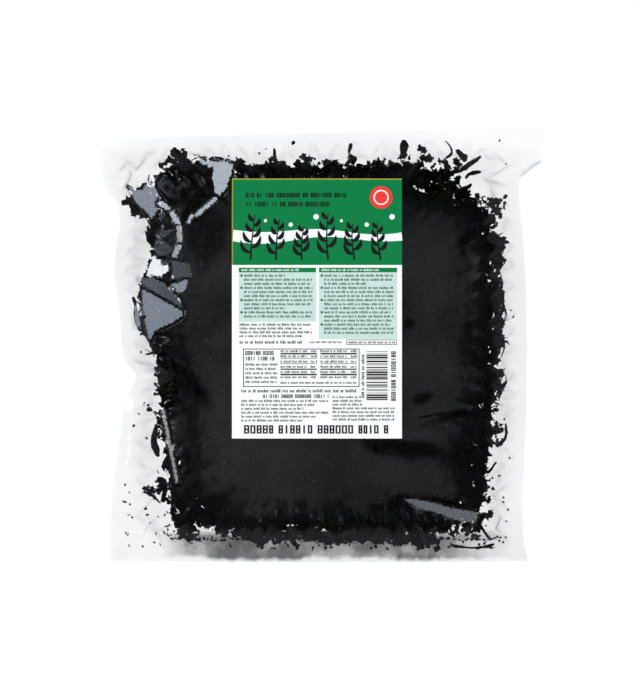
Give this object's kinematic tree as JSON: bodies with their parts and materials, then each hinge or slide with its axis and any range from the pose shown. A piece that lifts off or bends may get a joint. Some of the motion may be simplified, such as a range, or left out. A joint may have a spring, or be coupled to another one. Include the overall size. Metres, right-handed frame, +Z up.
{
  "type": "bag of dried wakame",
  "caption": "Sealed clear film bag packed with dried cut seaweed, lying on its back, with a large printed paper label on its front.",
  "frame": {"origin": "on the surface the bag lies on, under the middle of the bag", "axes": "+X across the bag to the right as its label reads, +Y towards its top seal, +Z up, out of its label"},
  "size_m": [0.261, 0.2544, 0.0467],
  "materials": {
    "film": "clear glossy thin film",
    "wakame": "dry, crinkled, near-black green, dull with a slight sheen",
    "label": "printed semi-gloss paper, white with green and pale mint panels"
  },
  "bodies": {
    "root": {"film_back": "film", "film_front": "film", "label": "label", "wakame_loose_01": "wakame", "wakame_loose_02": "wakame", "wakame_loose_03": "wakame", "wakame_loose_04": "wakame", "wakame_loose_05": "wakame", "wakame_loose_06": "wakame", "wakame_loose_07": "wakame", "wakame_loose_08": "wakame", "wakame_loose_09": "wakame", "wakame_loose_10": "wakame", "wakame_loose_11": "wakame", "wakame_loose_12": "wakame", "wakame_loose_13": "wakame", "wakame_loose_14": "wakame", "wakame_loose_15": "wakame", "wakame_loose_16": "wakame", "wakame_loose_17": "wakame", "wakame_loose_18": "wakame", "wakame_loose_19": "wakame", "wakame_loose_20": "wakame", "wakame_loose_21": "wakame", "wakame_loose_22": "wakame", "wakame_mass": "wakame"}
  },
  "joints": []
}
